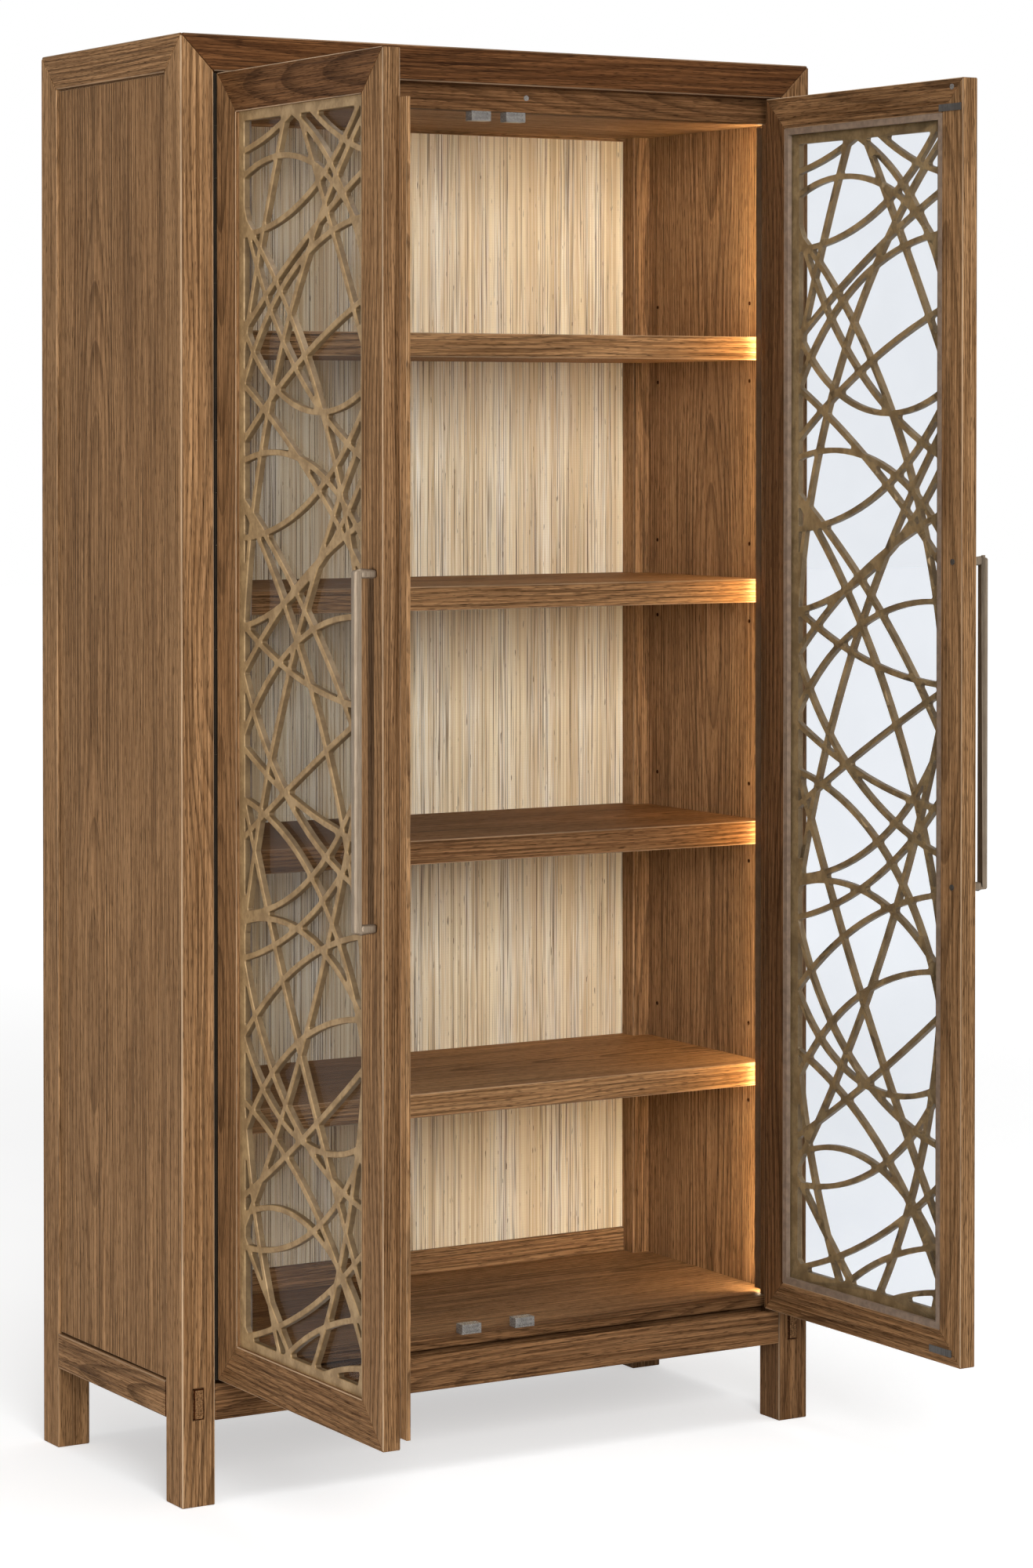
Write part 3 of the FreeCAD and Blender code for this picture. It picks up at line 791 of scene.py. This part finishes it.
@dataclass
class Carcass:
    """Posts, rails, panels, floor and top of the cabinet."""

    shop: Workshop
    ease: float = 0.0018
    fine_ease: float = 0.0008
    bored_least: float = 0.05
    # Faces smaller than these areas get painted shade: pin-hole walls and the rim round the tenon ends.
    hole_area: float = 3.2e-5
    tenon_area: float = 1.2e-4

    def build(self) -> None:
        """Makes the boards of the carcass."""
        # Board shades here are partly tone and partly painted shade; foot values paint shade toward the bottom
        # (lighter at the bottom of the left panel); the edge values set the painted edge highlight.
        for end, side, shade, wear in (("front", Side.LEFT, 0.16, 0.55), ("front", Side.RIGHT, 0.46, 0.40),
                                       ("back", Side.LEFT, 0.15, 0.12), ("back", Side.RIGHT, 0.15, 0.12)):
            self.shop.board(f"{end}_{side.word}_post", "frame_oak", Grain.UPRIGHT, self.ease, shade, foot=0.08,
                            wear=wear)
        for end in ("front", "back"):
            self.shop.board(f"top_{end}_rail", "frame_oak", Grain.SIDEWAYS, self.ease, 0.82)
            self.shop.board(f"bottom_{end}_rail", "frame_oak", Grain.SIDEWAYS, self.ease, 0.55, wear=0.0)
        for side in Side:
            self.shop.board(f"top_{side.word}_rail", "frame_oak", Grain.FORWARD, self.ease, 0.36)
            self.shop.board(f"bottom_{side.word}_rail", "frame_oak", Grain.FORWARD, self.ease, 0.30,
                            painted_shade_area=self.tenon_area)
        for side, shade, foot in ((Side.LEFT, 0.34, -0.14), (Side.RIGHT, 0.06, 0.16)):
            self.shop.board(f"{side.word}_side_panel", "panel_oak", Grain.UPRIGHT_SIDE, self.fine_ease, shade,
                            self.bored_least, foot, painted_shade_area=self.hole_area)
        for node, grain, shade in (("top_panel", Grain.SIDEWAYS_FLAT, 0.25),
                                   ("ceiling_board", Grain.SIDEWAYS_FLAT, 0.0),
                                   ("deck_board", Grain.SIDEWAYS_FLAT, 0.28),
                                   ("deck_lipping", Grain.SIDEWAYS, 0.62),
                                   ("back_bottom_batten", Grain.SIDEWAYS, 0.12)):
            self.shop.board(node, "panel_oak", grain, self.fine_ease, shade, wear=0.0)
        self.shop.board("back_top_batten", "panel_oak", Grain.SIDEWAYS, self.fine_ease,
                        least=self.bored_least, wear=0.0)
        self.shop.board("door_stop_rail", "frame_oak", Grain.SIDEWAYS, self.fine_ease, 0.66, wear=0.0)


@dataclass
class Shelves:
    """The four shelves."""

    shop: Workshop
    shades: tuple[float, ...] = (0.24, 0.58, 0.36, 0.24)
    ease: float = 0.0013

    def build(self) -> None:
        """Makes the shelf boards; their grain runs from side to side."""
        # Shelf shades are partly board tone and partly painted shade.
        for number, shade in enumerate(self.shades, start=1):
            self.shop.board(f"shelf_{number}", "shelf_oak", Grain.SIDEWAYS_FLAT, self.ease, shade)


@dataclass
class ReedBack:
    """The grasscloth covering, a sheet of upright reeds."""

    shop: Workshop
    reed_width: float = GrassclothFinish.reed_width
    reed_relief: float = 0.0006
    groove: float = 0.25
    sway_share: float = 0.25
    patches: float = 9.0
    rows: int = 36

    def build(self) -> None:
        """Makes the reeds as ridges on the front of a thin sheet."""
        low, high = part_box("grasscloth")
        size = high - low
        reeds = round(size.x / self.reed_width)
        shape = bmesh.new()
        bmesh.ops.create_grid(shape, x_segments=2 * reeds, y_segments=self.rows, size=0.5)
        step = 1.0 / (2 * reeds)
        for vert in shape.verts:
            column = round((vert.co.x + 0.5) / step)
            edge = abs(vert.co.x) > 0.5 - step / 2
            spot = Vector((vert.co.x * reeds, vert.co.y * self.patches, 0.0))
            crest = 1.0 if column % 2 else self.groove
            relief = 0.0 if edge else self.reed_relief * crest * (0.55 + 0.45 * noise.noise(spot))
            sway = 0.0 if edge else self.sway_share * self.reed_width * noise.noise(spot * 0.7)
            vert.co = Vector((low.x + size.x * (vert.co.x + 0.5) + sway,
                              low.y + self.reed_relief - relief,
                              low.z + size.z * (vert.co.y + 0.5)))
        back = bmesh.ops.extrude_face_region(shape, geom=shape.faces[:])
        for vert in back["geom"]:
            if isinstance(vert, bmesh.types.BMVert):
                vert.co.y = high.y
        bmesh.ops.recalc_face_normals(shape, faces=shape.faces)
        self.shop.settle(shape, "grasscloth_reeds", "grasscloth", "grasscloth", self.shop.finishes.cloth)
        self.shop.dress("back_board", self.shop.finishes.ply)


@dataclass
class Fittings:
    """Lights, catches, hinges, pins and other small parts of the carcass."""

    shop: Workshop

    def build(self) -> None:
        """Dresses the fittings."""
        kit = self.shop.finishes
        for node, material in (("lamp_channels", kit.channel), ("lamp_diffusers", kit.glow),
                               ("lamp_driver", kit.black), ("cord_gland", kit.black),
                               ("magnetic_catches", kit.clear), ("stop_bumper", kit.clear),
                               ("hinge_frame_leaves", kit.hinge), ("shelf_pins", kit.steel)):
            self.shop.dress(node, material)


@dataclass
class Door:
    """One framed glass door with its lattice and handle."""

    shop: Workshop
    side: Side
    ease: float = 0.0012
    hinge_ease: float = 0.0007
    lattice_ease: float = 0.0014
    handle_ease: float = 0.0036
    least: float = 0.009
    handle_least: float = 0.008
    wear: float = 0.55
    wall_shade: float = 0.55
    rings: tuple[tuple[float, float], ...] = ((0.30, 0.29), (1.0, 0.0))

    def name(self, part: str) -> str:
        """Name of one of the door's solids."""
        return f"{self.side.word}_door_{part}"

    def build(self) -> None:
        """Makes the door's pieces."""
        kit = self.shop.finishes
        left = self.side is Side.LEFT
        # The left pane takes the greyed glass, a painted shade.
        pane = kit.grey_glass if left else kit.glass
        # Door board shades are partly tone and partly painted shade: the right hinge stile is darkened as if
        # in shade, and the left meeting stile is darkened so that the handle's shadow on it reads deeper.
        for part, grain, ease, left_shade, right_shade in (
                ("hinge_stile", Grain.UPRIGHT_SIDE, self.hinge_ease, 0.42, 0.70),
                ("meeting_stile", Grain.UPRIGHT_SIDE, self.ease, 0.30, 0.18),
                ("top_rail", Grain.FORWARD, self.ease, 0.72, 0.44),
                ("bottom_rail", Grain.FORWARD, self.ease, 0.42, 0.42)):
            shade = left_shade if left else right_shade
            self.shop.board(self.name(part), "door_oak", grain, ease, shade, self.least, wear=self.wear)
        if left:
            self.shop.board(self.name("astragal"), "door_oak", Grain.UPRIGHT, self.ease, 0.2)
        self.lattice()
        self.handle()
        for part, material in (("glass", pane), ("glass_beads", kit.bead), ("handle_screws", kit.steel),
                               ("strikes", kit.steel), ("hinge_leaf", kit.hinge), ("bumper", kit.clear)):
            self.shop.dress(self.name(part), material)

    def lattice(self) -> None:
        """Rounds the bars of the lattice on the side that faces out of the door, and paints shade on their
        side walls.
        """
        node = self.name("lattice")
        shape = self.shop.merged(node)
        outward = self.outward()
        level = max(vert.co.dot(outward) for vert in shape.verts)
        fronts = [f for f in shape.faces if f.normal.dot(outward) > 0.99]
        for vert in {v for f in fronts for v in f.verts}:
            vert.co -= outward * self.lattice_ease
        reach = 0.0
        for inset, drop in self.rings:
            bmesh.ops.inset_region(shape, faces=fronts, thickness=(inset - reach) * self.lattice_ease,
                                   depth=0.0, use_boundary=True, use_even_offset=True)
            reach = inset
            for vert in {v for f in fronts for v in f.verts}:
                vert.co += outward * (level - drop * self.lattice_ease - vert.co.dot(outward))
        # Painted shade: the side walls of the bars are darkened.
        shade = shape.faces.layers.float.new("shade")
        for face in shape.faces:
            face[shade] = self.wall_shade if abs(face.normal.dot(outward)) < 0.3 else 0.0
        self.shop.settle(shape, f"{node}_bars", node, "gold_lattice", self.shop.finishes.gold)

    def outward(self) -> Vector:
        """Finds the way out of the door.

        Returns:
            Direction that the lattice's outer face looks in, from glass to lattice.
        """
        lattice_low, lattice_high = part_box(self.name("lattice"))
        glass_low, glass_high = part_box(self.name("glass"))
        gap = (lattice_low + lattice_high) - (glass_low + glass_high)
        normals = [p.normal for p in frame["nodes"][self.name("glass")].data.polygons]
        return max(normals, key=lambda n: n.dot(gap)).copy()

    def handle(self) -> None:
        """Rounds the bar and arms of the handle."""
        node = self.name("handle")
        shape = self.shop.plain(node)
        bmesh.ops.bevel(shape, geom=self.shop.sharp_edges(shape, self.handle_least), offset=self.handle_ease,
                        offset_type="OFFSET", segments=4, profile=0.5, affect="EDGES", material=-1,
                        clamp_overlap=True)
        piece = self.shop.settle(shape, f"{node}_bar", node, "handle_bronze", self.shop.finishes.bronze)
        for polygon in piece.data.polygons:
            polygon.use_smooth = False


@dataclass(frozen=True)
class SoftBox:
    """A square studio light that faces the cabinet."""

    name: str
    place: tuple[float, float, float]
    size: float
    watts: float


@dataclass
class Studio:
    """Floor, light and camera."""

    shop: Workshop
    camera_place: tuple[float, float, float] = (-3.0939, -5.3261, 1.4932)
    camera_pitch: float = -1.084
    camera_yaw: float = -30.627
    sensor: float = 36.0
    sight: float = 200.0
    picture_height: float = 2000.0
    focal_pixels: float = 5297.9
    axis_pixel: tuple[float, float] = (591.8, 643.4)
    picture_middle: tuple[float, float] = (659.0, 1000.0)
    world_level: float = 0.30
    floor_half: float = 30.0
    floor_tones: tuple[Colour, Colour] = ((0.80, 0.80, 0.80, 1), (0.83, 0.83, 0.83, 1))
    floor_glow: float = 0.50
    far_glow: float = 0.28
    glow_span: tuple[float, float] = (1.6, 7.0)
    target: tuple[float, float, float] = (0.0, -0.3, 1.0)
    key: SoftBox = SoftBox("key", (-2.0, -5.3, 2.6), 2.2, 210.0)
    overhead: SoftBox = SoftBox("overhead", (0.2, -0.6, 4.6), 2.6, 80.0)
    beside: SoftBox = SoftBox("beside", (-4.6, -2.45, 1.15), 0.4, 85.0)
    handle_shadow: SoftBox = SoftBox("handle_shadow", (-4.6, -2.45, 1.15), 0.4, 45.0)
    stile_edge: SoftBox = SoftBox("stile_edge", (1.6, -5.0, 1.6), 0.4, 100.0)
    wash_watts: float = 3.4
    wash_shares: tuple[float, float] = (0.15, 1.0)
    wash_width: float = 0.012
    wash_inset: float = 0.003
    wash_back: float = 0.072
    wash_colour: tuple[float, float, float] = (1.0, 0.60, 0.18)
    handle_stile: str = "left_door_meeting_stile"
    sheltered: tuple[str, ...] = ("grasscloth", "shelf", "deck", "ceiling", "batten", "lamp", "catch", "right")

    def build(self) -> None:
        """Makes everything round the object."""
        self.make_world()
        self.make_floor()
        self.make_lamps()
        self.make_camera()

    @staticmethod
    def seen(shop: Shop) -> Sock:
        """Tells the rays that show the surroundings from those that light the object.

        Args:
            shop: Node tree to add to.

        Returns:
            1 for rays from the camera and for those that gloss and glass send on.
        """
        path = shop.node("ShaderNodeLightPath")
        camera, gloss, glass = (Sock(shop, path.outputs[f"Is {kind} Ray"])
                                for kind in ("Camera", "Glossy", "Transmission"))
        total = camera + gloss + glass
        return shop.make("ShaderNodeMath", {"operation": "MINIMUM"}, {0: total, 1: 1.0})

    def make_world(self) -> None:
        """White surroundings that light the object softly."""
        shop = Shop(bpy.data.worlds.new("studio"))
        seen = self.seen(shop)
        level = seen + (1.0 - seen) * self.world_level
        light = shop.make("ShaderNodeBackground", inputs={"Color": (1.0, 1.0, 1.0, 1), "Strength": level})
        bpy.context.scene.world = shop.finish(light)
        bpy.context.scene.view_settings.view_transform = "Standard"

    def make_floor(self) -> None:
        """Pale floor that keeps the shadow."""
        shape = bmesh.new()
        bmesh.ops.create_grid(shape, x_segments=4, y_segments=4, size=self.floor_half)
        mesh = bpy.data.meshes.new("floor")
        shape.to_mesh(mesh)
        shape.free()
        floor = bpy.data.objects.new("floor", mesh)
        bpy.context.scene.collection.objects.link(floor)
        shop = Shop.material("pale_floor")
        fine = shop.noise(shop.scaled(shop.place(), (3.0, 3.0, 3.0)), 2.0)
        white = shop.blend(fine, *self.floor_tones)
        matt = shop.make("ShaderNodeBsdfDiffuse", inputs={"Color": white})
        x, y, _ = shop.axes(shop.place())
        far = (x * x + y * y).root().step(*self.glow_span)
        level = self.seen(shop) * (self.floor_glow + far * self.far_glow)
        glow = shop.make("ShaderNodeEmission", inputs={"Color": (1, 1, 1, 1), "Strength": level})
        mesh.materials.append(shop.finish(shop.make("ShaderNodeAddShader", inputs={0: matt, 1: glow})))

    def make_lamps(self) -> None:
        """Soft boxes in front, overhead and beside the cabinet, and the wash of the inside lights."""
        for box in (self.key, self.overhead):
            self.link(self.soft_box(box), [self.handle_stile], "EXCLUDE")
        outer = [node for node in self.shop.shown if not any(word in node for word in self.sheltered)]
        self.link(self.soft_box(self.beside), outer)
        for box in (self.handle_shadow, self.stile_edge):
            self.link(self.soft_box(box), [self.handle_stile])
        low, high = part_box("lamp_diffusers")
        shelves = [node for node in self.shop.shown if node.startswith("shelf")]
        for side, share in zip(Side, self.wash_shares):
            place = Vector((side.way * (high.x - self.wash_inset), low.y - self.wash_back,
                            (low.z + high.z) / 2))
            wash = self.lamp(f"{side.word}_wash", place, place + Vector((0.0, 1.0, 0.0)),
                             (self.wash_width, high.z - low.z), share * self.wash_watts, self.wash_colour)
            wash.data.use_shadow = False
            self.link(wash, shelves)

    def soft_box(self, box: SoftBox) -> bpy.types.Object:
        """Adds a soft box.

        Args:
            box: Its name, place, size and power.

        Returns:
            The light.
        """
        return self.lamp(box.name, Vector(box.place), Vector(self.target), (box.size, box.size), box.watts)

    def link(self, lamp: bpy.types.Object, nodes: list[str], state: str = "INCLUDE") -> None:
        """Lets a light fall on some pieces alone, or on all but them.

        Args:
            lamp: The light.
            nodes: Names of the solids whose shown pieces are meant.
            state: INCLUDE to light these alone, EXCLUDE to leave them out.
        """
        lit = bpy.data.collections.new(f"{lamp.name}_pieces")
        for node in nodes:
            lit.objects.link(self.shop.shown[node])
        for member in lit.collection_objects:
            member.light_linking.link_state = state
        lamp.light_linking.receiver_collection = lit

    @staticmethod
    def lamp(name: str, place: Vector, target: Vector, size: tuple[float, float], watts: float,
             colour: tuple[float, float, float] = (1.0, 1.0, 1.0)) -> bpy.types.Object:
        """Adds an area light.

        Args:
            name: Name of the light.
            place: Middle of the light.
            target: Point that it faces.
            size: Width and height.
            watts: Power.
            colour: Light colour.

        Returns:
            The light.
        """
        data = bpy.data.lights.new(name, "AREA")
        data.shape = "RECTANGLE"
        data.size, data.size_y = size
        data.energy = watts
        data.color = colour
        lamp = bpy.data.objects.new(name, data)
        lamp.location = place
        lamp.rotation_euler = (target - place).to_track_quat("-Z", "Y").to_euler()
        bpy.context.scene.collection.objects.link(lamp)
        return lamp

    def make_camera(self) -> None:
        """Camera at the photograph's place, with its rising front."""
        data = bpy.data.cameras.new("camera")
        data.sensor_width = self.sensor
        data.lens = self.focal_pixels / self.picture_height * data.sensor_width
        data.shift_x = (self.picture_middle[0] - self.axis_pixel[0]) / self.picture_height
        data.shift_y = (self.axis_pixel[1] - self.picture_middle[1]) / self.picture_height
        data.clip_end = self.sight
        camera = bpy.data.objects.new("camera", data)
        camera.location = self.camera_place
        camera.rotation_euler = Euler((math.radians(90.0 + self.camera_pitch), 0.0,
                                       math.radians(self.camera_yaw)))
        bpy.context.scene.collection.objects.link(camera)
        bpy.context.scene.camera = camera


def main() -> None:
    """Builds the sub-assemblies in order, then the studio."""
    logging.basicConfig(level=logging.INFO, format="%(name)s %(message)s")
    workshop = Workshop(Finishes())
    Carcass(workshop).build()
    Shelves(workshop).build()
    ReedBack(workshop).build()
    Fittings(workshop).build()
    for side in Side:
        Door(workshop, side).build()
    Studio(workshop).build()


if __name__ == "__main__":
    main()
